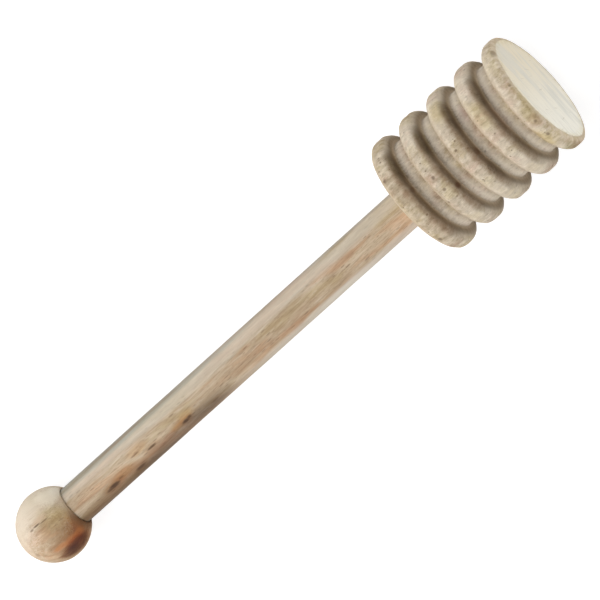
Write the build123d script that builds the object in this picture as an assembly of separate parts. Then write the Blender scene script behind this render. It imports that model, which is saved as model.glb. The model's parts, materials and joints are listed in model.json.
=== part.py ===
from build123d import *
import math
import os

# A wooden honey dipper: a grooved turned head, a dowel handle and an end ball.
# Millimetres, +Z up. It lies on a table at z = 0, on its ball and on the rim of
# the head's first disc, with its head towards +X. The origin is on the table,
# under the middle of the dipper's bounding box.

# Whole dipper
overall_length = 160.0

# Turned head
head_diameter = 30.0
disc_count = 5
disc_thickness = 5.2
groove_width = 3.2
groove_depth = 3.0
rim_radius = 2.0
front_edge_radius = 1.1
head_socket_depth = 16.0
head_mouth_chamfer = 0.3

# Dowel handle
handle_diameter = 9.5
dowel_end_chamfer = 0.6

# End ball, with the wood left between its outer end and its socket's bottom
ball_diameter = 17.2
ball_end_wall = 6.7
ball_mouth_chamfer = 0.5

# Drilled sockets: the glue film round the dowel, and the mark of the bit's point
glue_gap = 0.05
pit_diameter = 2.4
pit_depth = 0.9

# How far a cutter reaches past the surface that it opens
cut_overrun = 2.0

# Places along the axis, measured from the ball's outer end
head_radius = head_diameter / 2
ball_radius = ball_diameter / 2
socket_radius = handle_diameter / 2 + glue_gap
disc_pitch = disc_thickness + groove_width
half_land = disc_thickness / 2 - rim_radius
last_disc_middle = overall_length - front_edge_radius - half_land
first_disc_middle = last_disc_middle - (disc_count - 1) * disc_pitch
head_back = first_disc_middle - disc_thickness / 2
head_socket_bottom = head_back + head_socket_depth
ball_mouth = ball_radius + math.sqrt(ball_radius**2 - socket_radius**2)


def socket_cutter(depth, mouth_chamfer, reach):
    """A drilled hole along X: its mouth at x = 0, its flat bottom at x = -depth."""
    outer_radius = socket_radius + mouth_chamfer + reach
    outline = Polyline(
        (-depth - pit_depth, 0),
        (-depth, pit_diameter / 2),
        (-depth, socket_radius),
        (-mouth_chamfer, socket_radius),
        (reach, outer_radius),
        (reach, 0),
        close=True,
    )
    return revolve(make_face(outline), Axis.X)


def head_outline():
    """The head's half section: round-edged discs, and square grooves between them."""
    shoulder = head_radius - rim_radius
    front_shoulder = head_radius - front_edge_radius
    floor = head_radius - groove_depth
    edges = [Line((head_back, 0), (head_back, shoulder))]
    for number in range(disc_count):
        middle = first_disc_middle + number * disc_pitch
        land_start = middle - half_land
        land_end = middle + half_land
        edges.append(CenterArc((land_start, shoulder), rim_radius, 90, 90))
        edges.append(Line((land_start, head_radius), (land_end, head_radius)))
        if number < disc_count - 1:
            groove_start = middle + disc_thickness / 2
            groove_end = groove_start + groove_width
            edges.append(CenterArc((land_end, shoulder), rim_radius, 0, 90))
            edges.append(Line((groove_start, shoulder), (groove_start, floor)))
            edges.append(Line((groove_start, floor), (groove_end, floor)))
            edges.append(Line((groove_end, floor), (groove_end, shoulder)))
    edges.append(CenterArc((land_end, front_shoulder), front_edge_radius, 0, 90))
    edges.append(Line((overall_length, front_shoulder), (overall_length, 0)))
    edges.append(Line((overall_length, 0), (head_back, 0)))
    return edges


def dipper_head():
    """The grooved head, drilled from its back face for the handle."""
    blank = revolve(make_face(head_outline()), Axis.X)
    socket = socket_cutter(head_socket_depth, head_mouth_chamfer, cut_overrun)
    return blank - Pos(X=head_back) * Rot(Z=180) * socket


def handle():
    """The dowel, chamfered at both ends, from one socket's bottom to the other's."""
    length = head_socket_bottom - ball_end_wall
    dowel = Cylinder(handle_diameter / 2, length)
    ends = dowel.edges().filter_by(GeomType.CIRCLE)
    dowel = chamfer(ends, dowel_end_chamfer)
    middle = (head_socket_bottom + ball_end_wall) / 2
    return Pos(X=middle) * Rot(Y=90) * dowel


def end_ball():
    """The ball, drilled from the handle's side, right through the cap over the hole."""
    ball = Pos(X=ball_radius) * Sphere(ball_radius)
    depth = ball_mouth - ball_end_wall
    cap_height = ball_diameter - ball_mouth
    socket = socket_cutter(depth, ball_mouth_chamfer, cap_height + cut_overrun)
    return ball - Pos(X=ball_mouth) * socket


def rest_angle():
    """The axis's lean: the table touches two circles, the ball and disc 1's rim."""
    along = first_disc_middle - half_land - ball_radius
    across = head_radius - rim_radius
    distance = math.hypot(along, across)
    return math.degrees(
        math.atan2(across, along) - math.asin((ball_radius - rim_radius) / distance)
    )


def main():
    pieces = {"dipper_head": dipper_head(), "handle": handle(), "end_ball": end_ball()}
    lean = Rot(Y=-rest_angle())
    ball_height = (lean * Pos(X=ball_radius)).position.Z
    leaning = Compound(children=[lean * piece for piece in pieces.values()])
    middle = leaning.bounding_box().center().X
    place = Pos(X=-middle, Z=ball_radius - ball_height) * lean

    os.makedirs("parts", exist_ok=True)
    for name, piece in pieces.items():
        export_step(place * piece, f"parts/{name}.step")


main()
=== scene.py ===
import json
import math

import bmesh
import bpy
from mathutils import Matrix, Vector, noise


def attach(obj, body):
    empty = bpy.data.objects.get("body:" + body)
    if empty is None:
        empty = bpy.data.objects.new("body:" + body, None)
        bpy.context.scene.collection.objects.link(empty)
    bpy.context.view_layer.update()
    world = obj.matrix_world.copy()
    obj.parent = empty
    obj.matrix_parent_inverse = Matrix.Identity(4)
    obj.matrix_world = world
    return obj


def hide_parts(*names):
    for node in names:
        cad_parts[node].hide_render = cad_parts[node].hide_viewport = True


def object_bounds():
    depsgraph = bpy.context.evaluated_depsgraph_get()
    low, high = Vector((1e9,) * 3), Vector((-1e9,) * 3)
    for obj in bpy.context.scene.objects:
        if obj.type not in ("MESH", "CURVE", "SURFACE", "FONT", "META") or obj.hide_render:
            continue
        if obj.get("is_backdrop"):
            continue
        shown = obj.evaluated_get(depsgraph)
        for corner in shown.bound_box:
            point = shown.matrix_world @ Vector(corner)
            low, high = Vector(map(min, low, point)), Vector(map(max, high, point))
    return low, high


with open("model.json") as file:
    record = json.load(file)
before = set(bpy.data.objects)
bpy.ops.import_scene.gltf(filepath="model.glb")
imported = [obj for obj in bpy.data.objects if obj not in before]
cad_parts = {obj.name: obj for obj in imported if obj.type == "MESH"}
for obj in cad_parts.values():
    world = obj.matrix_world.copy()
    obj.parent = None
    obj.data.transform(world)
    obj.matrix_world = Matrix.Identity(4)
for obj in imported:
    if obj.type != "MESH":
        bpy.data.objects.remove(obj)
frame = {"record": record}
cad_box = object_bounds()

# A raw beech honey dipper, seen from above on a white floor.
# A piece's own frame is the dipper's: X along the axis from the ball's outer end,
# Y aside and Z above it. Lengths are in millimetres until a piece is placed.
MM = 0.001
LENGTH = 160.0

# Sections, as the CAD model has them
HEAD_RADIUS = 15.0
DISC_COUNT = 5
DISC_THICKNESS = 5.2
GROOVE_WIDTH = 3.2
DISC_PITCH = DISC_THICKNESS + GROOVE_WIDTH
FLOOR_RADIUS = 12.0
RIM_ROUNDING = 2.0
FRONT_ROUNDING = 1.1
HEAD_BACK = 122.1
HEAD_SOCKET_BOTTOM = 138.1
HANDLE_RADIUS = 4.75
HANDLE_START = 6.7
DOWEL_CHAMFER = 0.6
SOCKET_RADIUS = 4.8
PIT_RADIUS = 1.2
PIT_DEPTH = 0.9
HEAD_MOUTH_CHAMFER = 0.3
BALL_RADIUS = 8.6
BALL_MOUTH = 15.74

# Sections that the scene alone has: a rounding at the grooves' floors, and a
# narrower chamfer at the ball's mouth, so that its seam looks as thin as in the photo
FLOOR_ROUNDING = 0.3
BALL_MOUTH_CHAMFER = 0.3

# Meshes: the longest step along a section, and the points round the axis
HEAD_MESH = 0.36, 240
HANDLE_MESH = 0.8, 96
BALL_MESH = 0.45, 120
ARC_STEPS = 4
BALL_STEPS = 60
ON_AXIS = 1e-6

# Errors of the turning: height, the noise's scale per millimetre, and its seed
RUNOUT = 0.07, 1.0, 5
FINE_TEAR = 0.05, 1.1, 9
BROAD_TEAR = 0.10, 0.35, 4
DISC_LEAN = 0.06, 0.3, 13
HANDLE_WAVE = 0.05, 0.5, 21
BALL_WAVE = 0.06, 0.25, 31
BALL_RIPPLE = 0.02, 0.9, 37
# How far each surface is set back, so that the errors stay inside the solid
HEAD_SET_BACK = 0.08
FRONT_SET_BACK = 0.06
HANDLE_SET_BACK = 0.035
BALL_SET_BACK = 0.05
# Where the errors act: outside the sockets' mouths, and in full on the discs' rims
HEAD_LIP = 1.0
BALL_LIP = 0.4
FRONT_DEPTH = 0.5
RIM_START, RIM_DEPTH = 12.6, 2.0
FLOOR_TEAR = 0.3
# How far apart the discs' runouts are in the noise, and the scale of the handle's waves
# along it, as a share of their scale round it
DISC_SHIFT = 9
HANDLE_STRETCH = 0.15

# The dipper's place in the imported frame, from the record's front face
mount = frame["record"]["mounts"][0]
axis = Vector(mount["axis"]).normalized()
above = Vector((0, 0, 1))
above = (above - above.dot(axis) * axis).normalized()
aside = above.cross(axis)
ball_end = Vector(mount["pos_m"]) - LENGTH * MM * axis
TURN = Matrix((axis, aside, above)).transposed()
PLACE = Matrix.Translation(ball_end) @ TURN.to_4x4()


# Sections and meshes

def section(corners, step):
    """Points (x, r) through corners (x, r, rounding), none further apart than step."""
    points = []
    for number, (x, r, rounding) in enumerate(corners):
        corner = Vector((x, r))
        if not rounding:
            points.append(corner)
            continue
        back = (Vector(corners[number - 1][:2]) - corner).normalized()
        ahead = (Vector(corners[number + 1][:2]) - corner).normalized()
        half = back.angle(ahead) / 2
        centre = corner + (back + ahead).normalized() * (rounding / math.sin(half))
        start = corner + back * (rounding / math.tan(half)) - centre
        first = math.atan2(start.y, start.x)
        sweep = (math.pi - 2 * half) * (1 if back.cross(ahead) < 0 else -1)
        count = max(ARC_STEPS, math.ceil(rounding * abs(sweep) / step))
        for k in range(count + 1):
            angle = first + sweep * k / count
            points.append(centre + rounding * Vector((math.cos(angle), math.sin(angle))))
    dense = [points[0]]
    for a, b in zip(points, points[1:]):
        parts = max(1, math.ceil((b - a).length / step))
        dense += [a.lerp(b, k / parts) for k in range(1, parts + 1)]
    return dense


def lathe(name, corners, fineness, uneven, masks):
    """A closed turned piece. uneven(x, r, angle) gives each point's own error (dx, dr),
    and each mask(x, r) is kept on the points under its name, for the material."""
    step, segments = fineness
    mesh = bpy.data.meshes.new(name)
    bm = bmesh.new()
    layers = {key: bm.verts.layers.float.new(key) for key in masks}
    rings = []
    for x, r in section(corners, step):
        ring = []
        for k in range(segments if r > ON_AXIS else 1):
            angle = 2 * math.pi * k / segments
            dx, dr = uneven(x, r, angle) if r > ON_AXIS else (0.0, 0.0)
            there = (x + dx, (r + dr) * math.cos(angle), (r + dr) * math.sin(angle))
            vertex = bm.verts.new(Vector(there) * MM)
            for key, mask in masks.items():
                vertex[layers[key]] = mask(x, r)
            ring.append(vertex)
        rings.append(ring)
    for one, two in zip(rings, rings[1:]):
        for k in range(segments):
            after = (k + 1) % segments
            around = [one[k % len(one)], one[after % len(one)]]
            around += [two[after % len(two)], two[k % len(two)]]
            bm.faces.new(list(dict.fromkeys(around)))
    bmesh.ops.recalc_face_normals(bm, faces=bm.faces)
    bm.to_mesh(mesh)
    bm.free()
    mesh.shade_smooth()
    piece = bpy.data.objects.new(name, mesh)
    bpy.context.scene.collection.objects.link(piece)
    piece.matrix_world = PLACE
    return piece


def rough(x, r, angle, error):
    """One of the turning's errors, smooth along and round a piece."""
    height, scale, seed = error
    place = Vector((x, r * math.cos(angle), r * math.sin(angle))) * scale
    return height * noise.noise(place + Vector((seed, 3.1 * seed, -seed)))


def head_error(x, r, angle):
    if r < SOCKET_RADIUS + HEAD_LIP:
        return 0.0, 0.0
    disc = round((x - HEAD_BACK) / DISC_PITCH)
    rim = max(0.0, min(1.0, (r - RIM_START) / RIM_DEPTH))
    runout = rough(disc * DISC_SHIFT, 1.0, angle, RUNOUT)
    torn = rough(x, r, angle, FINE_TEAR) + rough(x, r, angle, BROAD_TEAR)
    dr = runout * rim + torn * (FLOOR_TEAR + (1 - FLOOR_TEAR) * rim)
    dx = rough(x, r, angle, DISC_LEAN) * rim
    if x > LENGTH - FRONT_DEPTH:
        dx = min(0.0, dx - FRONT_SET_BACK)
    return dx, min(0.0, dr - HEAD_SET_BACK)


def handle_error(x, r, angle):
    wave = rough(x * HANDLE_STRETCH, r, angle, HANDLE_WAVE)
    return 0.0, min(0.0, wave - HANDLE_SET_BACK)


def ball_error(x, r, angle):
    if r <= SOCKET_RADIUS + BALL_LIP:
        return 0.0, 0.0
    wave = rough(x, r, angle, BALL_WAVE) + rough(x, r, angle, BALL_RIPPLE)
    return 0.0, min(0.0, wave - BALL_SET_BACK)


def socket(bottom, mouth, chamfer, inward):
    """A drilled socket's corners, from the pit's point to the start of its mouth's
    chamfer. inward is 1 or -1, the way along X in which it is drilled."""
    return [
        (bottom + inward * PIT_DEPTH, 0, 0),
        (bottom, PIT_RADIUS, 0),
        (bottom, SOCKET_RADIUS, 0),
        (mouth + inward * chamfer, SOCKET_RADIUS, 0),
    ]


def head_corners():
    corners = socket(HEAD_SOCKET_BOTTOM, HEAD_BACK, HEAD_MOUTH_CHAMFER, 1)
    corners.append((HEAD_BACK, SOCKET_RADIUS + HEAD_MOUTH_CHAMFER, 0))
    x = HEAD_BACK
    for number in range(DISC_COUNT):
        corners.append((x, HEAD_RADIUS, RIM_ROUNDING))
        if number < DISC_COUNT - 1:
            x += DISC_THICKNESS
            corners.append((x, HEAD_RADIUS, RIM_ROUNDING))
            corners.append((x, FLOOR_RADIUS, FLOOR_ROUNDING))
            x += GROOVE_WIDTH
            corners.append((x, FLOOR_RADIUS, FLOOR_ROUNDING))
    corners.append((LENGTH, HEAD_RADIUS, FRONT_ROUNDING))
    corners.append((LENGTH, 0, 0))
    return corners


def ball_corners():
    corners = socket(HANDLE_START, BALL_MOUTH, BALL_MOUTH_CHAMFER, -1)
    # The chamfer runs out at 45 degrees until it meets the ball
    mouth = Vector((corners[-1][0] - BALL_RADIUS, SOCKET_RADIUS))
    root = math.sqrt(2 * BALL_RADIUS**2 - (mouth.x - mouth.y)**2)
    flare = (mouth.x + mouth.y - root) / -2
    edge = mouth + Vector((flare, flare))
    last = math.atan2(edge.y, edge.x)
    for k in range(BALL_STEPS + 1):
        angle = last + (math.pi - last) * k / BALL_STEPS
        x, r = BALL_RADIUS * (1 + math.cos(angle)), BALL_RADIUS * math.sin(angle)
        corners.append((x, r if k < BALL_STEPS else 0, 0))
    return corners


def handle_corners():
    end = HEAD_SOCKET_BOTTOM
    inner = HANDLE_RADIUS - DOWEL_CHAMFER
    return [
        (HANDLE_START, 0, 0),
        (HANDLE_START, inner, 0),
        (HANDLE_START + DOWEL_CHAMFER, HANDLE_RADIUS, 0),
        (end - DOWEL_CHAMFER, HANDLE_RADIUS, 0),
        (end, inner, 0),
        (end, 0, 0),
    ]


# Masks on the head's points, for its material

# A groove's near wall is the one that faces +X. Distances along X are from that wall or
# from where its shoulder starts, and those in radius are under the rim or over the floor.
# Shares: how far the burnish and painted shade fade at the wall's foot, how much of them
# the far wall and the floor get, and how much of the far floor's painted shade is kept at
# the head's back.
WALL_SLACK = 0.1
NEAR_SHOULDER = -0.3, 0.9
BURNISH_SHADE_FOOT, FOOT_START, FOOT_END = 0.95, 1.1, 0.2
BURNISH_SHADE_FAR_WALL, FAR_SHOULDER = 0.35, 0.6
BURNISH_SHADE_FLOOR, BURNISH_SHADE_FLOOR_END, BURNISH_SHADE_FLOOR_START = 0.08, 0.5, 0.1
FLOOR_SLACK = 0.5
NEAR_BACK = 0.15
NEAR_HEIGHT = 1.2, 0.3
NEAR_REACH = 2.6, 0.9
FAR_SHADE_BACK, FAR_SHADE_PITCHES = 0.6, 2.5
FAR_REACH = 0.9, 3.0
FAR_HEIGHT = 0.2, 1.3
# The front's distances are from where the rounding of its edge starts
FACE_SLACK = 0.2
FACE_EDGE = 0.3, -0.8
EDGE_REACH = -2.2, 0.2
EDGE_FADE = -2.0


def ramp(value, start, end):
    """0 at start, 1 at end, smooth between."""
    t = max(0.0, min(1.0, (value - start) / (end - start)))
    return t * t * (3 - 2 * t)


def near_wall(x):
    """The place of the near wall of the groove at x, or None where there is none."""
    first = HEAD_BACK + DISC_THICKNESS / 2
    number = math.floor((x - first) / DISC_PITCH)
    if 0 <= number < DISC_COUNT - 1:
        return first + number * DISC_PITCH + DISC_THICKNESS / 2
    return None


def burnish_and_wall_shade(x, r):
    """How far a groove's walls get burnish and painted shade: most on the near wall's
    shoulder.
    """
    wall = near_wall(x)
    if wall is None:
        return 0.0
    foot = 1 - BURNISH_SHADE_FOOT * ramp(r, HEAD_RADIUS - FOOT_START, FLOOR_RADIUS + FOOT_END)
    if x <= wall + WALL_SLACK:
        start, full = NEAR_SHOULDER
        shoulder = wall - RIM_ROUNDING
        return foot * ramp(x, shoulder + start, shoulder + full)
    if x >= wall + GROOVE_WIDTH - WALL_SLACK:
        return BURNISH_SHADE_FAR_WALL * foot * ramp(r, HEAD_RADIUS, HEAD_RADIUS - FAR_SHOULDER)
    return BURNISH_SHADE_FLOOR * ramp(x, wall + BURNISH_SHADE_FLOOR_END, wall + BURNISH_SHADE_FLOOR_START)


def floor_painted_light(x, r):
    """1 at the foot of the near wall, fading along the floor: painted light in the groove's
    corner.
    """
    wall = near_wall(x)
    if wall is None or r < FLOOR_RADIUS - FLOOR_SLACK or x < wall - NEAR_BACK:
        return 0.0
    low = ramp(r, *(FLOOR_RADIUS + height for height in NEAR_HEIGHT))
    return low * ramp(x, *(wall + reach for reach in NEAR_REACH))


def floor_painted_shade(x, r):
    """1 at the floor's other end and on the foot of the next disc: painted shade in that
    crevice, weaker towards the head's back.
    """
    wall = near_wall(x)
    if wall is None or r < FLOOR_RADIUS - FLOOR_SLACK:
        return 0.0
    far_shade = ramp(x, HEAD_BACK, HEAD_BACK + FAR_SHADE_PITCHES * DISC_PITCH)
    far_shade = FAR_SHADE_BACK + (1 - FAR_SHADE_BACK) * far_shade
    far = ramp(x, *(wall + reach for reach in FAR_REACH))
    return far_shade * far * ramp(r, *(HEAD_RADIUS - height for height in FAR_HEIGHT))


def front_face(x, r):
    """1 on the head's flat front face, fading out at its rounded edge."""
    if x < LENGTH - FACE_SLACK:
        return 0.0
    return ramp(r, *(HEAD_RADIUS - FRONT_ROUNDING + reach for reach in FACE_EDGE))


def front_edge(x, r):
    """1 on the front face's rounded edge, fading out over the face and the rim."""
    over = ramp(x, *(LENGTH - FRONT_ROUNDING + reach for reach in EDGE_REACH))
    flat = HEAD_RADIUS - FRONT_ROUNDING
    return over * ramp(r, flat + EDGE_FADE, flat)


# Materials

def colour(red, green, blue):
    """An sRGB colour, 0 to 255, as Blender's linear one."""
    def linear(v):
        v /= 255
        return v / 12.92 if v <= 0.04045 else ((v + 0.055) / 1.055) ** 2.4
    return (linear(red), linear(green), linear(blue), 1.0)


class Surface:
    """A node material, made one node at a time from numbers, tuples and sockets."""

    def __init__(self, name):
        self.material = bpy.data.materials.new(name)
        self.material.use_nodes = True
        self.tree = self.material.node_tree
        self.shader = self.tree.nodes["Principled BSDF"]

    def put(self, kind, values, out=0, **settings):
        node = self.tree.nodes.new("ShaderNode" + kind)
        for key, value in settings.items():
            setattr(node, key, value)
        for place, value in values.items():
            self.give(node.inputs[place], value)
        return node.outputs[out]

    def give(self, place, value):
        if isinstance(value, bpy.types.NodeSocket):
            self.tree.links.new(value, place)
        else:
            place.default_value = value

    def math(self, operation, *values):
        return self.put("Math", dict(enumerate(values)), operation=operation)

    def times(self, one, two):
        return self.math("MULTIPLY", one, two)

    def vector(self, operation, *values, out=0):
        return self.put("VectorMath", dict(enumerate(values)), out, operation=operation)

    def stretched(self, place, scales):
        return self.vector("MULTIPLY", place, scales)

    def split(self, vector):
        return self.put("SeparateXYZ", {0: vector}).node.outputs

    def mix(self, share, one, two, kind="MIX"):
        values = {0: share, 6: one, 7: two}
        return self.put("Mix", values, 2, data_type="RGBA", blend_type=kind)

    def step(self, value, low, high, start=0.0, end=1.0):
        """start where the value is low, end where it is high, smooth between."""
        values = dict(enumerate((value, low, high, start, end)))
        return self.put("MapRange", values, interpolation_type="SMOOTHSTEP")

    def noise(self, place, detail, roughness, scale=1.0, out=0):
        values = {"Vector": place, "Scale": scale, "Detail": detail, "Roughness": roughness}
        return self.put("TexNoise", values, out)

    def cells(self, place):
        """Each point's distance to its cell's middle."""
        return self.put("TexVoronoi", {"Vector": place, "Scale": 1.0})

    def mask(self, name):
        return self.put("Attribute", {}, "Fac", attribute_name=name)

    def swing(self, value, width):
        """A noise from 0 to 1, as one from minus to plus half the width."""
        return self.math("MULTIPLY_ADD", value, width, -width / 2)


# Stretches are per millimetre and cells in millimetres. Those of streaks, fibres, rays
# and pores are across the rings, round the pith and along the grain, and those of the
# wander and the dots along X, Y and Z.
WANDER_STRETCH, WANDER_REACH = (0.014, 0.06, 0.06), 7.0
STREAK_STRETCH = (0.55, 0.55, 0.035)
FIBRE_STRETCH = (5.0, 5.0, 0.22)
DOT_STRETCH = (0.75, 0.95, 0.95)
RAY_CELL = (6.0, 0.50, 3.4)
PORE_CELL = (0.30, 0.30, 1.5)
RING_WIDTH = 1.9
# Noises: detail, roughness and, where it isn't 1, scale
WANDER_NOISE = 2.0, 0.5
STREAK_NOISE = 4.0, 0.6
FIBRE_NOISE = 3.0, 0.6
MOTTLE_NOISE = 4.0, 0.6, 0.9
WOOL_NOISE = 3.0, 0.65, 2.2
PATCH_NOISE = 3.0, 0.55

# Values at which a tone starts and is full
END_GRAIN = 0.45, 0.9
LATE_WOOD = 0.45, 0.95
LATE_WOOD_END = 1.0, 0.955
RAY_EDGE = 0.0, 0.10
DOT_EDGE = 0.0, 0.12
PORE_EDGE = 0.30, 0.12
DARK_STREAKS = 0.32, 0.68
FIBRE_DASHES = 0.40, 0.70
BLUSH_PATCHES = 0.50, 0.64
OLIVE_PATCHES = 0.48, 0.36
GREY_MOTTLE = 0.46, 0.68
PALE_MOTTLE = 0.47, 0.30
DARK_WOOL = 0.55, 0.72

# How large a cell's ray or dot is: its chance value times the first, plus the second
RAY_SIZE = 0.52, -0.24
DOT_SIZE = 0.55, -0.22

# Shares of tones that all pieces have alike
LATE_SHARE = 0.32
END_RING_SHARE = 0.45
END_FIBRE_SHARE = 0.35
PORE_SHARE = 0.22
END_DOTS = 0.3

# The surface's relief in millimetres, and its gloss
RELIEF = {"fibres": 0.05, "pores": -0.03, "rays": -0.02, "wool": 0.05, "mottle": 0.10}
WOOD_GLOSS = 0.35

# A mark's edge: how ragged it is, and where it starts and ends, in shares of its sizes
SOFT_EDGE = 0.5, 0.35, 1.05
CRISP_EDGE = 1.0, 0.5, 1.2


class Beech(Surface):
    """Beech in three dimensions: rings round a far pith, rays, fibres and pores.
    A piece tints it with its own marks, and then finishes it."""

    def __init__(self, name, seed, pith, tones):
        super().__init__(name)
        self.place = self.vector("SCALE", self.put("TexCoord", {}, "Object"))
        self.place.node.inputs["Scale"].default_value = 1 / MM
        moved = self.vector("ADD", self.place, (seed, 2 * seed, -seed))
        radial, wood = self.in_wood(moved, pith)
        facing = self.split(self.put("TexCoord", {}, "Normal"))[0]
        end = self.step(self.math("ABSOLUTE", facing), *END_GRAIN)

        self.streaks = self.noise(self.stretched(wood, STREAK_STRETCH), *STREAK_NOISE)
        self.fibres = self.noise(self.stretched(wood, FIBRE_STRETCH), *FIBRE_NOISE)
        grain = self.stretched(moved, tones["grain"])
        self.mottle = self.noise(grain, *MOTTLE_NOISE)
        self.wool = self.noise(grain, *WOOL_NOISE)
        patches = self.noise(self.stretched(moved, tones["patch"]), *PATCH_NOISE)
        ring = self.math("MULTIPLY_ADD", radial, 1 / RING_WIDTH, self.streaks)
        ring = self.math("FRACT", ring)
        late = self.times(self.step(ring, *LATE_WOOD), self.step(ring, *LATE_WOOD_END))
        self.rays = self.grown(self.in_cells(wood, RAY_CELL), RAY_SIZE, RAY_EDGE)
        dots = self.grown(self.stretched(moved, DOT_STRETCH), DOT_SIZE, DOT_EDGE)
        self.pores = self.step(self.cells(self.in_cells(wood, PORE_CELL)), *PORE_EDGE)

        dark = self.step(self.streaks, *DARK_STREAKS)
        self.colour = self.mix(dark, tones["light"], tones["dark"])
        dashes = self.step(self.fibres, *FIBRE_DASHES)
        self.tint(self.times(dashes, tones["fibres"]), tones["fibre"])
        self.tint(self.times(late, LATE_SHARE), tones["late"])
        self.tint(self.step(patches, *BLUSH_PATCHES), tones["blush"], "MULTIPLY")
        self.tint(self.step(patches, *OLIVE_PATCHES), tones["olive"], "MULTIPLY")
        grey = self.times(self.step(self.mottle, *GREY_MOTTLE), tones["mottle"])
        self.tint(grey, tones["grey"], "MULTIPLY")
        pale = self.times(self.step(self.mottle, *PALE_MOTTLE), tones["mottle"])
        self.tint(pale, tones["pale"])
        woolly = self.times(self.step(self.wool, *DARK_WOOL), tones["wool"])
        self.tint(woolly, tones["fibre"])
        sawn = self.mix(self.times(late, END_RING_SHARE), tones["end"], tones["end_ring"])
        sawn = self.mix(self.times(dashes, END_FIBRE_SHARE), sawn, tones["end_ring"])
        self.tint(end, sawn)
        self.tint(self.times(self.rays, tones["rays"]), tones["ray"])
        self.tint(self.times(self.pores, PORE_SHARE), tones["ray"])
        shown = self.step(end, 0.0, 1.0, tones["dots"], END_DOTS * tones["dots"])
        self.tint(self.times(dots, shown), tones["dot"])

    def in_wood(self, moved, pith):
        """A point's distance from the pith, and its place in the wood."""
        wander = self.noise(self.stretched(moved, WANDER_STRETCH), *WANDER_NOISE, out=1)
        wander = self.vector("SUBTRACT", wander, (0.5, 0.5, 0.5))
        wander = self.vector("MULTIPLY", wander, (0, WANDER_REACH, WANDER_REACH))
        bent = self.vector("ADD", self.place, wander)
        from_pith = self.vector("SUBTRACT", bent, (0, *pith))
        from_pith = self.vector("MULTIPLY", from_pith, (0, 1, 1))
        radial = self.vector("LENGTH", from_pith, out=1)
        _, aside, above = self.split(from_pith)
        around = self.times(self.math("ARCTAN2", above, aside), math.hypot(*pith))
        along = self.split(moved)[0]
        return radial, self.put("CombineXYZ", {0: radial, 1: around, 2: along})

    def in_cells(self, place, sizes):
        return self.stretched(place, [1 / size for size in sizes])

    def grown(self, place, size, edge):
        """1 in the middle of some cells, as large as each one's chance value says."""
        distance = self.cells(place)
        chance = self.put("SeparateColor", {0: distance.node.outputs["Color"]})
        reach = self.math("MULTIPLY_ADD", chance, *size)
        return self.step(self.math("SUBTRACT", reach, distance), *edge)

    def tint(self, share, tone, kind="MIX"):
        self.colour = self.mix(share, self.colour, tone, kind)

    def mark(self, centre, sizes, ragged, edge=SOFT_EDGE):
        """1 in an ellipsoid's middle, fading to 0 at its ragged edge."""
        raggedness, start, end = edge
        away = self.vector("SUBTRACT", self.place, centre)
        away = self.vector("DIVIDE", away, sizes)
        distance = self.vector("LENGTH", away, out=1)
        distance = self.math("MULTIPLY_ADD", ragged, raggedness, distance)
        return self.step(distance, start, end, 1.0, 0.0)

    def lay_on(self, marks, ragged):
        for centre, sizes, share, tone, kind in marks:
            self.tint(self.times(self.mark(centre, sizes, ragged), share), tone, kind)

    def finish(self, smoothest, roughest):
        self.give(self.shader.inputs["Base Color"], self.colour)
        spread = roughest - smoothest
        roughness = self.math("MULTIPLY_ADD", self.mottle, spread, smoothest)
        self.give(self.shader.inputs["Roughness"], roughness)
        self.give(self.shader.inputs["Specular IOR Level"], WOOD_GLOSS)
        height = 0.0
        for part, depth in RELIEF.items():
            height = self.math("MULTIPLY_ADD", getattr(self, part), depth, height)
        bump = self.put("Bump", {"Distance": MM, "Strength": 1.0, "Height": height})
        self.give(self.shader.inputs["Normal"], bump)
        return self.material


# Each piece's tones. Names in the plural, mottle and wool are shares, patch and grain
# are stretches, and the rest are colours.
HEAD_TONES = {
    "light": colour(217, 203, 181),
    "dark": colour(194, 177, 153),
    "fibre": colour(158, 139, 113),
    "fibres": 0.36,
    "late": colour(166, 145, 117),
    "blush": colour(252, 241, 240),
    "olive": colour(251, 248, 234),
    "patch": (0.16, 0.20, 0.20),
    "grain": (0.65, 1.0, 1.0),
    "grey": colour(196, 190, 180),
    "pale": colour(230, 218, 199),
    "mottle": 0.55,
    "wool": 0.48,
    "end": colour(204, 188, 164),
    "end_ring": colour(176, 158, 132),
    "ray": colour(112, 84, 60),
    "rays": 0.30,
    "dots": 0.75,
    "dot": colour(112, 88, 64),
}
HANDLE_TONES = HEAD_TONES | {
    "light": colour(210, 192, 166),
    "dark": colour(190, 168, 139),
    "fibre": colour(150, 122, 92),
    "fibres": 0.46,
    "late": colour(162, 132, 100),
    "blush": colour(255, 237, 226),
    "olive": colour(244, 242, 228),
    "patch": (0.045, 0.26, 0.26),
    "grain": (0.14, 1.2, 1.2),
    "mottle": 0.25,
    "wool": 0.15,
    "rays": 0.50,
    "dots": 0.10,
}
BALL_TONES = HEAD_TONES | {
    "light": colour(216, 198, 172),
    "dark": colour(186, 162, 132),
    "fibre": colour(156, 124, 90),
    "late": colour(168, 134, 100),
    "blush": colour(253, 240, 232),
    "patch": (0.10, 0.20, 0.20),
    "grain": (0.35, 1.0, 1.0),
    "mottle": 0.30,
    "wool": 0.20,
    "end": colour(214, 192, 164),
    "end_ring": colour(184, 156, 124),
    "dots": 0.25,
}

# The roughness of each piece, where it is smoothest and where it is roughest
HEAD_ROUGHNESS = 0.60, 0.80
HANDLE_ROUGHNESS = 0.52, 0.72
BALL_ROUGHNESS = 0.52, 0.72

# How wide the noise is that makes marks ragged; the ball's is one of fibres and streaks
HEAD_RAGGED = 1.2
BAND_RAGGED = 1.6
FLECK_RAGGED = 1.8
BALL_RAGGED = 1.6, 1.2

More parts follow.
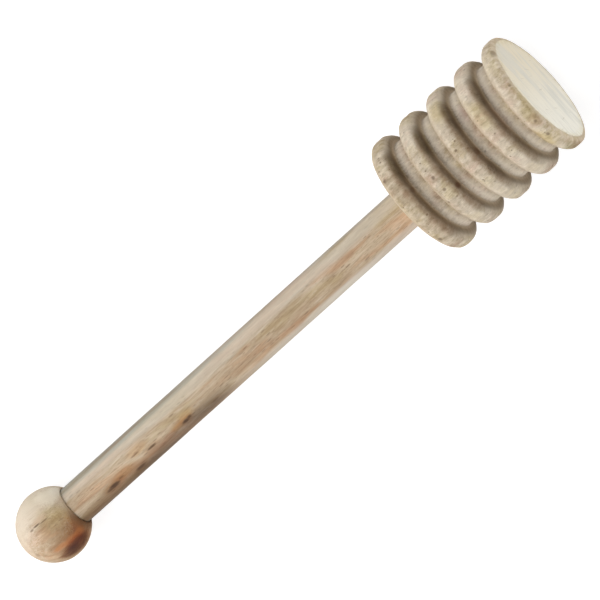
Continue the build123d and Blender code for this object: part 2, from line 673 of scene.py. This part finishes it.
# The grooves' walls: the burnish and painted shade, its tone in the middle and aside, how
# uneven it is, the share that comes of that, and where aside it fades and where it changes
# its tone
BURNISH_SHADE = colour(130, 102, 72)
BURNISH_SHADE_ASIDE = colour(128, 116, 100)
BURNISH_SHADE_UNEVEN = 0.9
BURNISH_SHADE_SHARE = 0.62, 0.08
BURNISH_SHADE_FADE = 10.5, 13.5, 1.0, 0.15
BURNISH_SHADE_CHANGE = 9.0, 13.0
# The grooves' floors: their tones, painted light by the near wall and painted shade at the
# far end, and where the wool gives the least and most of them
NEAR_FLOOR_LIGHT = colour(236, 225, 208)
NEAR_WOOL = 0.34, 0.66, 0.30, 0.80
FAR_FLOOR_SHADE = colour(222, 216, 206)
FAR_WOOL = 0.34, 0.66, 0.50, 1.00
# The front face: its tones from its lower to its upper side, then its grey streaks by
# stretch, shift, noise, where they start and are full, share and tone, and its rays
CREAM_LOW = colour(229, 218, 194)
CREAM_HIGH = colour(243, 239, 226)
CREAM_ACROSS = 12.0, -12.0
FACE_STREAKS = [
    ((1.0, 0.05, 0.30), (0, 0, 3), (3.0, 0.6), (0.46, 0.62), 0.55, colour(214, 212, 203)),
    ((1.0, 0.16, 1.3), (0, 5, 0), (4.0, 0.65), (0.50, 0.72), 0.45, colour(202, 198, 186)),
]
CREAM_RAY = colour(170, 156, 132)
CREAM_RAY_SHARE = 0.3
# How ragged the face's edge is, where the cream starts and is full, and the painted shade
# on its rounded edge
CREAM_RAGGED = 0.5
CREAM_START = 0.15, 0.60
EDGE_SHADE = colour(235, 229, 211)
EDGE_SHADE_MOTTLE = 0.30, 0.75

# The handle's flecks, and the halo round each: its size and strength beside the fleck's
FLECK = colour(80, 54, 30)
HALO = colour(224, 188, 148)
HALO_LENGTH, HALO_WIDTH, HALO_STRENGTH = 2.2, 3.5, 0.5

# Painted shade round the seam at the ball: its tones far from the stain and beside it,
# where it starts and is full in radius, along and across, and where across it changes its
# tone
SEAM_SHADE_PALE = colour(150, 138, 120)
SEAM_SHADE_DARK = colour(112, 76, 42)
SEAM_MOTTLE = 0.5
SEAM_RADIUS = 7.3, 5.2
SEAM_ALONG = 13.6, 14.8
SEAM_ACROSS = 2.5, -2.5, 0.05, 0.95
SEAM_CHANGE = 3.0, -3.0

# Marks: centre, sizes, share, tone, and how it is laid on. First the head's broad tones
HEAD_TINTS = [
    # Painted shade on the back disc
    ((124.6, 0.0, 12.0), (5.0, 20.0, 16.0), 0.80, colour(242, 238, 230), "MULTIPLY"),
    # Painted light on the head's two sides and on the top of its front discs
    ((146.0, 11.0, 9.0), (26.0, 8.0, 9.0), 0.32, colour(238, 228, 210), "MIX"),
    ((146.0, -11.0, 9.0), (26.0, 8.0, 9.0), 0.32, colour(238, 228, 210), "MIX"),
    ((155.0, 0.0, 14.0), (11.0, 12.0, 9.0), 0.20, colour(238, 226, 206), "MIX"),
    ((142.1, 11.2, 10.0), (3.0, 4.4, 4.4), 0.65, colour(236, 228, 190), "MULTIPLY"),
    ((150.0, 4.0, 14.5), (2.6, 5.0, 3.0), 0.60, colour(240, 234, 200), "MULTIPLY"),
    ((156.2, -9.2, 11.9), (2.6, 4.6, 4.6), 0.85, colour(238, 230, 196), "MULTIPLY"),
    ((157.5, -14.4, 4.1), (2.4, 2.4, 6.0), 0.85, colour(216, 218, 196), "MULTIPLY"),
    ((145.9, 7.4, 10.1), (1.8, 4.0, 3.6), 0.80, colour(232, 220, 226), "MULTIPLY"),
    ((152.4, 0.9, 12.5), (1.8, 5.0, 2.4), 0.80, colour(236, 224, 228), "MULTIPLY"),
    ((160.0, 1.2, 15.0), (1.3, 7.0, 1.8), 0.60, colour(232, 226, 192), "MULTIPLY"),
    ((158.4, -3.1, 14.7), (2.0, 3.6, 2.0), 0.60, colour(232, 226, 190), "MULTIPLY"),
]
# Painted shade where the grooves' dark lines end aside, then dots, and spots of rust
HEAD_MARKS = [
    ((126.9, 8.6, 11.6), (1.1, 6.4, 5.8), 0.75, colour(166, 158, 130), "MULTIPLY"),
    ((135.3, 8.6, 11.6), (1.1, 6.4, 5.8), 0.80, colour(160, 152, 124), "MULTIPLY"),
    ((143.7, 8.6, 11.6), (1.1, 6.4, 5.8), 0.72, colour(160, 148, 124), "MULTIPLY"),
    ((152.1, 8.6, 11.6), (1.1, 6.4, 5.8), 0.66, colour(168, 158, 132), "MULTIPLY"),
    ((143.8, -7.2, 12.2), (1.1, 4.6, 4.2), 0.60, colour(170, 158, 136), "MULTIPLY"),
    ((152.2, -7.2, 12.2), (1.1, 4.6, 4.2), 0.40, colour(176, 166, 144), "MULTIPLY"),
    ((132.8, 0.9, 15.0), (0.60, 0.60, 1.0), 0.80, colour(120, 98, 76), "MIX"),
    ((132.9, -2.6, 14.8), (0.55, 0.50, 1.0), 0.70, colour(120, 98, 76), "MIX"),
    ((123.4, 7.5, 13.0), (0.70, 0.70, 0.9), 0.75, colour(112, 90, 68), "MIX"),
    ((123.4, -10.1, 11.0), (0.70, 0.80, 0.9), 0.75, colour(112, 90, 68), "MIX"),
    ((158.4, -4.7, 14.3), (0.50, 0.50, 0.9), 0.70, colour(122, 100, 76), "MIX"),
    ((158.0, -8.6, 12.3), (0.50, 0.60, 0.9), 0.70, colour(122, 100, 76), "MIX"),
    ((159.7, 12.7, 8.0), (0.80, 1.6, 1.8), 0.70, colour(128, 112, 88), "MIX"),
    ((127.3, 2.0, 13.8), (0.80, 1.1, 1.6), 0.45, colour(112, 72, 46), "MIX"),
    ((135.5, -3.8, 13.4), (0.80, 1.0, 1.6), 0.70, colour(112, 72, 46), "MIX"),
    ((144.0, -1.1, 13.8), (0.80, 1.2, 1.6), 0.50, colour(112, 72, 46), "MIX"),
]
# Long tones along the handle, and warm ones round its flecks. The first five are painted
# light and shade: a pale highlight band along the upper side, and grey on its edges
HANDLE_BANDS = [
    ((70.0, 3.0, 3.8), (130.0, 2.3, 2.8), 0.55, colour(210, 201, 184), "MIX"),
    ((70.0, 4.9, 0.2), (150.0, 2.0, 3.2), 0.65, colour(166, 162, 152), "MIX"),
    ((20.0, -4.9, 0.2), (64.0, 1.7, 2.8), 0.60, colour(164, 160, 150), "MIX"),
    ((100.0, -4.3, 2.0), (54.0, 2.0, 2.6), 0.60, colour(214, 206, 192), "MIX"),
    ((28.0, 4.2, 2.2), (48.0, 1.7, 2.6), 0.85, colour(212, 224, 231), "MULTIPLY"),
    ((47.0, -3.9, 2.7), (20.0, 2.6, 2.8), 0.90, colour(198, 198, 203), "MULTIPLY"),
    ((56.0, -3.3, 3.4), (8.5, 3.0, 3.4), 1.00, colour(218, 214, 208), "MULTIPLY"),
    ((98.0, -4.2, 2.2), (14.0, 1.8, 2.6), 0.45, colour(224, 215, 201), "MIX"),
    ((108.0, -1.5, 4.4), (24.0, 4.0, 3.6), 0.40, colour(240, 232, 222), "MULTIPLY"),
    ((34.0, -4.6, 2.0), (44.0, 4.0, 4.2), 0.75, colour(216, 190, 162), "MULTIPLY"),
    ((20.0, -4.4, 1.8), (28.0, 3.6, 4.0), 0.85, colour(186, 178, 168), "MULTIPLY"),
    ((30.4, -2.0, 4.3), (5.0, 1.6, 2.0), 0.70, colour(238, 200, 156), "MULTIPLY"),
    ((36.5, 0.1, 4.7), (4.0, 1.4, 1.6), 0.50, colour(244, 214, 180), "MULTIPLY"),
    ((50.3, -1.4, 4.5), (3.2, 1.2, 1.6), 0.60, colour(244, 226, 168), "MULTIPLY"),
    ((47.2, -2.2, 4.2), (2.4, 1.2, 1.6), 0.60, colour(240, 214, 160), "MULTIPLY"),
]
# Dark flecks on the handle: x, degrees round from above, length, width and strength
HANDLE_FLECKS = [
    (27.0, -33, 1.6, 0.60, 0.95),
    (25.4, -35, 1.1, 0.40, 0.75),
    (29.4, -28, 0.8, 0.24, 0.50),
    (34.2, -47, 1.5, 0.50, 0.85),
    (39.7, -21, 1.5, 0.32, 0.80),
    (36.0, -6, 0.7, 0.20, 0.45),
    (49.5, -32, 1.0, 0.50, 0.95),
    (50.8, -29, 0.7, 0.34, 0.80),
    (57.6, -46, 1.3, 0.30, 0.50),
]
# Broad tones on the ball, its stain, and the three parts of its fine streak. The first two
# are painted light on the ball's +Y side, and the stain's darkening on the lower -Y side is
# partly painted shade
BALL_STAINS_LIGHT_AND_SHADE = [
    # Painted light on the +Y side
    ((10.0, 6.6, 4.6), (11.0, 6.4, 8.0), 0.70, colour(226, 214, 192), "MIX"),
    ((4.0, 4.6, 5.6), (7.0, 8.4, 7.0), 0.55, colour(222, 208, 190), "MIX"),
    ((12.4, 1.2, 7.6), (5.6, 4.2, 4.0), 0.60, colour(236, 226, 190), "MULTIPLY"),
    # The stain on the -Y side, its darkening partly painted shade
    ((12.4, -6.0, 5.0), (9.4, 7.0, 8.0), 0.70, colour(218, 180, 138), "MULTIPLY"),
    ((12.8, -6.2, 4.4), (6.8, 4.6, 5.4), 0.70, colour(202, 152, 100), "MULTIPLY"),
    ((11.8, -7.2, 3.8), (5.6, 3.0, 4.0), 0.72, colour(150, 114, 74), "MULTIPLY"),
    ((8.8, -7.2, 4.8), (3.4, 2.4, 2.6), 0.65, colour(158, 126, 82), "MULTIPLY"),
    ((14.4, -3.4, 5.0), (3.0, 3.4, 3.6), 0.55, colour(196, 148, 98), "MULTIPLY"),
    ((13.6, -4.9, 4.4), (2.8, 1.2, 2.2), 0.60, colour(178, 108, 54), "MIX"),
    ((11.2, -4.9, 6.0), (3.0, 1.0, 1.9), 0.65, colour(184, 114, 62), "MIX"),
    ((12.1, -6.1, 5.0), (4.2, 1.5, 3.4), 0.85, colour(208, 160, 100), "MULTIPLY"),
    ((10.0, -3.4, 7.7), (4.8, 3.0, 4.0), 0.50, colour(226, 220, 208), "MULTIPLY"),
    ((10.5, -0.5, 8.3), (4.8, 1.4, 3.0), 0.45, colour(236, 232, 224), "MULTIPLY"),
    ((13.4, 5.9, 4.0), (3.8, 3.6, 5.0), 0.60, colour(240, 228, 206), "MIX"),
    ((9.0, -4.7, 7.0), (2.4, 0.9, 1.6), 0.60, colour(190, 128, 78), "MIX"),
    ((14.8, 5.6, 2.2), (1.6, 2.2, 2.6), 0.60, colour(246, 236, 218), "MIX"),
    ((9.6, 3.0, 7.95), (3.0, 0.9, 1.8), 0.60, colour(216, 192, 164), "MIX"),
    ((8.34, 2.37, 8.26), (1.4, 0.27, 1.0), 0.75, colour(104, 78, 54), "MULTIPLY"),
    ((10.4, 2.09, 8.15), (1.7, 0.25, 1.0), 0.60, colour(130, 104, 76), "MULTIPLY"),
    ((6.69, 2.22, 8.09), (0.7, 0.32, 1.0), 0.60, colour(110, 84, 60), "MULTIPLY"),
    ((15.0, -1.6, 5.4), (1.8, 3.0, 2.4), 0.70, colour(252, 236, 200), "MULTIPLY"),
    ((3.0, -2.8, 5.9), (1.2, 1.0, 1.0), 0.45, colour(190, 182, 174), "MULTIPLY"),
]


def head_wood():
    s = Beech("head_beech", seed=11.3, pith=(-12.0, -58.0), tones=HEAD_TONES)
    ragged = s.swing(s.wool, HEAD_RAGGED)
    s.lay_on(HEAD_TINTS, ragged)
    # The grooves' walls, darkened by burnish and painted shade, and floors with painted
    # light by the near wall and painted shade at the far end
    across = s.split(s.place)[1]
    off_middle = s.math("ABSOLUTE", across)
    uneven = s.times(s.streaks, BURNISH_SHADE_UNEVEN)
    uneven = s.math("MULTIPLY_ADD", s.wool, BURNISH_SHADE_UNEVEN, uneven)
    burnish_shade = s.times(s.mask("burnish_shade"), s.math("MULTIPLY_ADD", uneven, *BURNISH_SHADE_SHARE))
    burnish_shade = s.times(burnish_shade, s.step(off_middle, *BURNISH_SHADE_FADE))
    s.tint(burnish_shade, s.mix(s.step(off_middle, *BURNISH_SHADE_CHANGE), BURNISH_SHADE, BURNISH_SHADE_ASIDE))
    # Painted light on the floor by the near wall's foot
    s.tint(s.times(s.mask("near"), s.step(s.wool, *NEAR_WOOL)), NEAR_FLOOR_LIGHT)
    # Painted shade at the floor's far end, by the next disc
    s.tint(s.times(s.mask("far"), s.step(s.wool, *FAR_WOOL)), FAR_FLOOR_SHADE, "MULTIPLY")
    s.lay_on(HEAD_MARKS, ragged)
    # The front face: cream end grain with grey streaks, and painted shade on its rounded
    # edge
    cream = s.mix(s.step(across, *CREAM_ACROSS), CREAM_LOW, CREAM_HIGH)
    for scales, shift, kind, edge, share, tone in FACE_STREAKS:
        streaks = s.vector("ADD", s.stretched(s.place, scales), shift)
        streaks = s.step(s.noise(streaks, *kind), *edge)
        cream = s.mix(s.times(streaks, share), cream, tone)
    cream = s.mix(s.times(s.rays, CREAM_RAY_SHARE), cream, CREAM_RAY)
    front = s.math("MULTIPLY_ADD", ragged, CREAM_RAGGED, s.mask("front"))
    s.tint(s.step(front, *CREAM_START), cream)
    s.tint(s.times(s.mask("edge"), s.step(s.mottle, *EDGE_SHADE_MOTTLE)), EDGE_SHADE, "MULTIPLY")
    return s.finish(*HEAD_ROUGHNESS)


def handle_wood():
    s = Beech("handle_beech", seed=4.7, pith=(6.0, -55.0), tones=HANDLE_TONES)
    s.lay_on(HANDLE_BANDS, s.swing(s.streaks, BAND_RAGGED))
    ragged = s.swing(s.fibres, FLECK_RAGGED)
    for x, angle, length, width, strength in HANDLE_FLECKS:
        turn = math.radians(angle)
        centre = (x, HANDLE_RADIUS * math.sin(turn), HANDLE_RADIUS * math.cos(turn))
        sizes = (length * HALO_LENGTH, width * HALO_WIDTH, width * HALO_WIDTH)
        halo = s.times(s.mark(centre, sizes, ragged), strength * HALO_STRENGTH)
        s.tint(halo, HALO, "MULTIPLY")
        fleck = s.mark(centre, (length, width, width), ragged, CRISP_EDGE)
        s.tint(s.times(fleck, strength), FLECK)
    return s.finish(*HANDLE_ROUGHNESS)


def ball_wood():
    s = Beech("ball_beech", seed=7.9, pith=(-10.0, -46.0), tones=BALL_TONES)
    of_fibres, of_streaks = BALL_RAGGED
    ragged = s.swing(s.fibres, of_fibres)
    ragged = s.math("ADD", ragged, s.swing(s.streaks, of_streaks))
    s.lay_on(BALL_STAINS_LIGHT_AND_SHADE, ragged)
    # The seam round the handle: painted shade that darkens towards it, most by the stain
    along, across, _ = s.split(s.place)
    radius = s.vector("LENGTH", s.vector("MULTIPLY", s.place, (0, 1, 1)), out=1)
    radius = s.math("MULTIPLY_ADD", s.mottle, SEAM_MOTTLE, radius)
    seam_shade = s.times(s.step(radius, *SEAM_RADIUS), s.step(along, *SEAM_ALONG))
    seam_shade = s.times(seam_shade, s.step(across, *SEAM_ACROSS))
    s.tint(seam_shade, s.mix(s.step(across, *SEAM_CHANGE), SEAM_SHADE_PALE, SEAM_SHADE_DARK))
    return s.finish(*BALL_ROUGHNESS)


# Pieces

# Masks for the head's material: burnish and painted shade on the grooves' walls, painted
# light and painted shade on their floors, the front face, and painted shade on its edge
masks = {
    "burnish_shade": burnish_and_wall_shade, "near": floor_painted_light, "far": floor_painted_shade,
    "front": front_face, "edge": front_edge,
}
head = lathe("head_turned", head_corners(), HEAD_MESH, head_error, masks)
handle = lathe("handle_dowel", handle_corners(), HANDLE_MESH, handle_error, {})
ball = lathe("ball_turned", ball_corners(), BALL_MESH, ball_error, {})
for piece, node, slot, material in (
    (head, "dipper_head", "head_wood", head_wood()),
    (handle, "handle", "handle_wood", handle_wood()),
    (ball, "end_ball", "ball_wood", ball_wood()),
):
    piece.data.materials.append(material)
    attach(piece, "root")
    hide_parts(node)


# Floor, backdrop and lights, in metres

STAGE_HALF = 3.0
STAGE_GREY = 0.46
STAGE_ROUGHNESS = 0.9
STAGE_GLOSS = 0.1
# The floor looks white to the camera alone, and keeps the dipper's shadow
STAGE_GLOW = 0.74
AMBIENT = 0.14
# Soft lamps: the way to them in the dipper's own frame, distance, sizes and level.
# A lamp of level 1 alone renders as white a white surface that faces it.
SOFTBOXES = {
    "left": ((-0.80, 0.10, 0.55), 1.3, (1.1, 0.8), 0.52),
    "upper_side": ((-0.26, 0.88, 0.40), 1.3, (1.1, 0.8), 0.60),
    "lower_side": ((-0.14, -0.90, 0.40), 1.3, (1.1, 0.8), 0.65),
    "top": ((-0.55, 0.03, 0.83), 1.4, (0.7, 0.7), 0.22),
    "front": ((0.99, 0.03, 0.06), 1.3, (0.6, 0.14), 0.61),
}


def floor_material():
    s = Surface("white_floor")
    s.give(s.shader.inputs["Base Color"], (STAGE_GREY, STAGE_GREY, STAGE_GREY, 1))
    s.give(s.shader.inputs["Roughness"], STAGE_ROUGHNESS)
    s.give(s.shader.inputs["Specular IOR Level"], STAGE_GLOSS)
    glow = s.put("Emission", {"Color": (1, 1, 1, 1), "Strength": STAGE_GLOW})
    lit = s.put("AddShader", {0: s.shader.outputs[0], 1: glow})
    seen = s.put("LightPath", {}, "Is Camera Ray")
    whole = s.put("MixShader", {0: seen, 1: s.shader.outputs[0], 2: lit})
    s.give(s.tree.nodes["Material Output"].inputs["Surface"], whole)
    return s.material


def softbox(name, towards, distance, sizes, level):
    """A lamp that looks at the dipper's middle and isn't seen itself."""
    lamp = bpy.data.lights.new(name, "AREA")
    lamp.shape = "RECTANGLE"
    lamp.size, lamp.size_y = sizes
    lamp.energy = level * math.pi**2 * distance**2
    holder = bpy.data.objects.new(name, lamp)
    bpy.context.scene.collection.objects.link(holder)
    way = (TURN @ Vector(towards)).normalized()
    middle = PLACE @ Vector((LENGTH * MM / 2, 0, 0))
    holder.location = middle + way * distance
    holder.rotation_mode = "QUATERNION"
    holder.rotation_quaternion = way.to_track_quat("Z", "Y")
    holder.visible_camera = False


floor_mesh = bpy.data.meshes.new("floor")
floor_corners = [
    (x * STAGE_HALF, y * STAGE_HALF, 0) for x, y in ((-1, -1), (1, -1), (1, 1), (-1, 1))
]
floor_mesh.from_pydata(floor_corners, [], [(0, 1, 2, 3)])
floor = bpy.data.objects.new("floor", floor_mesh)
bpy.context.scene.collection.objects.link(floor)
floor.data.materials.append(floor_material())
floor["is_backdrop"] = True

# The backdrop is white to the camera, and a faint even light on the dipper
world = bpy.data.worlds.new("studio")
bpy.context.scene.world = world
world.use_nodes = True
tree = world.node_tree
ambient = tree.nodes["Background"]
ambient.inputs["Color"].default_value = (1, 1, 1, 1)
ambient.inputs["Strength"].default_value = AMBIENT
white = tree.nodes.new("ShaderNodeBackground")
white.inputs["Strength"].default_value = 1.0
chooser = tree.nodes.new("ShaderNodeMixShader")
path = tree.nodes.new("ShaderNodeLightPath")
either = tree.nodes.new("ShaderNodeMath")
either.operation = "MAXIMUM"
tree.links.new(path.outputs["Is Camera Ray"], either.inputs[0])
tree.links.new(path.outputs["Is Transmission Ray"], either.inputs[1])
tree.links.new(either.outputs[0], chooser.inputs[0])
tree.links.new(ambient.outputs[0], chooser.inputs[1])
tree.links.new(white.outputs[0], chooser.inputs[2])
tree.links.new(chooser.outputs[0], tree.nodes["World Output"].inputs["Surface"])

for name, lamp in SOFTBOXES.items():
    softbox(name, *lamp)


# Camera: the photograph's view, fitted to its outline

# The dipper's axis in the picture: its angle from the horizontal, and how far its head
# leans towards the camera, in degrees
ALPHA, PHI = 41.949, 18.094
# A point on the axis, by its place along it, and where the camera sees that point:
# how far to the right and up, and how far ahead
POINT = 81.84
SHIFT = -3.076, -3.467
DISTANCE = 2046.0
# The focal length and the photo's side, in its pixels, and the sensor's width
FOCAL_PIXELS = 9284.75
PHOTO_SIDE = 600
SENSOR = 36
# What the camera sees, from the nearest to the farthest, in metres
CLIP = 0.1, 20

alpha, phi = math.radians(ALPHA), math.radians(PHI)
flat = math.cos(phi)
along = Vector((flat * math.cos(alpha), flat * math.sin(alpha), math.sin(phi)))
across = Vector((-math.sin(alpha), math.cos(alpha), 0))
upward = along.cross(across)
to_local = Matrix((along, across, upward))
camera = bpy.data.objects.new("camera", bpy.data.cameras.new("camera"))
bpy.context.scene.collection.objects.link(camera)
camera.data.sensor_width = SENSOR
camera.data.lens = FOCAL_PIXELS / PHOTO_SIDE * SENSOR
camera.data.clip_start, camera.data.clip_end = CLIP
offset = to_local @ Vector((*SHIFT, -DISTANCE))
spot = (Vector((POINT, 0, 0)) - offset) * MM
camera.matrix_world = PLACE @ Matrix.Translation(spot) @ to_local.to_4x4()
bpy.context.scene.camera = camera
bpy.context.scene.view_settings.view_transform = "Standard"

visual_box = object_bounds()
[[list(corner) for corner in box] for box in (cad_box, visual_box)]
